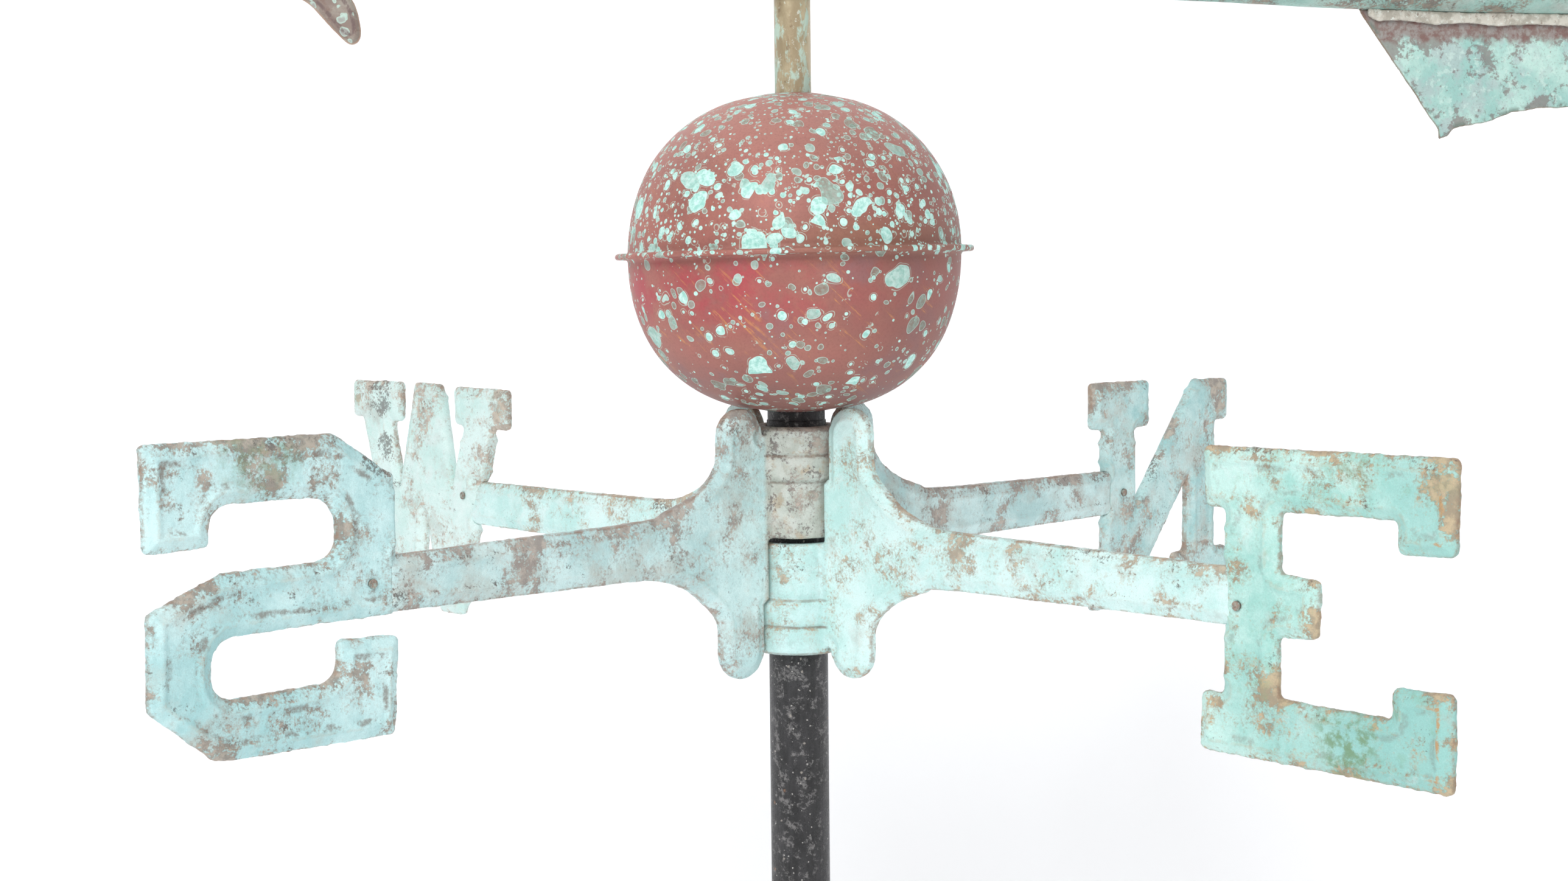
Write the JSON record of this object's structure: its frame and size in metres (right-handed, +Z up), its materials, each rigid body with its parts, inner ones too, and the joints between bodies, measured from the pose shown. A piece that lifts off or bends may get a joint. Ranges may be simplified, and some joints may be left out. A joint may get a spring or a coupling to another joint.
{
  "type": "weather vane",
  "caption": "Weather vane: pipe mast with four lettered compass arms, a copper globe on top, and an arrow with sheet feathers that turns freely on a spindle.",
  "frame": {"origin": "centre of the mast's foot", "axes": "+Z up the mast, +X towards the east letter, +Y towards the north letter"},
  "size_m": [0.6971, 0.7086, 0.808],
  "materials": {
    "mast_paint": "gloss black paint, dusty and rust-specked",
    "steel": "turned steel",
    "verdigris_ns": "heavy pale turquoise verdigris with tan wear",
    "verdigris_ew": "heavy mint verdigris with tan wear",
    "worn_copper": "brown worn copper alloy",
    "globe_copper": "satin red-brown copper with mint splashes",
    "tube_brass": "aged brass with verdigris",
    "arrow_copper": "brown copper under blotchy verdigris",
    "feather_sheet": "thin sheet with mint verdigris, brown at the root",
    "solder": "dull grey-tan solder"
  },
  "bodies": {
    "mast_assembly": {"mast_pipe": "mast_paint", "mast_plug": "steel", "spindle_rod": "steel", "spindle_pin": "steel", "north_south_arms": "verdigris_ns", "east_west_arms": "verdigris_ew", "letter_n": "verdigris_ns", "letter_s": "verdigris_ns", "letter_e": "verdigris_ew", "letter_w": "verdigris_ew", "letter_rivets": "worn_copper", "collar_set_screws": "steel", "globe_upper_half": "globe_copper", "globe_lower_half": "globe_copper", "globe_washer": "tube_brass", "pivot_ball": "steel"},
    "arrow_vane": {"vane_tube": "tube_brass", "lower_bush": "tube_brass", "upper_bush": "tube_brass", "thrust_plug": "tube_brass", "arrow_shaft": "arrow_copper", "shaft_tail_cap": "arrow_copper", "arrowhead_near": "arrow_copper", "arrowhead_far": "arrow_copper", "head_tang": "tube_brass", "shaft_saddle": "verdigris_ew", "saddle_finial": "worn_copper", "feather_lower": "feather_sheet", "feather_upper": "feather_sheet", "solder_lower": "solder", "solder_upper": "solder"}
  },
  "joints": [
    {"name": "vane_swing", "type": "hinge", "parent": "mast_assembly", "child": "arrow_vane", "pos_m": [0, 0, 0.7], "axis": [0, 0, 1], "continuous": true}
  ]
}
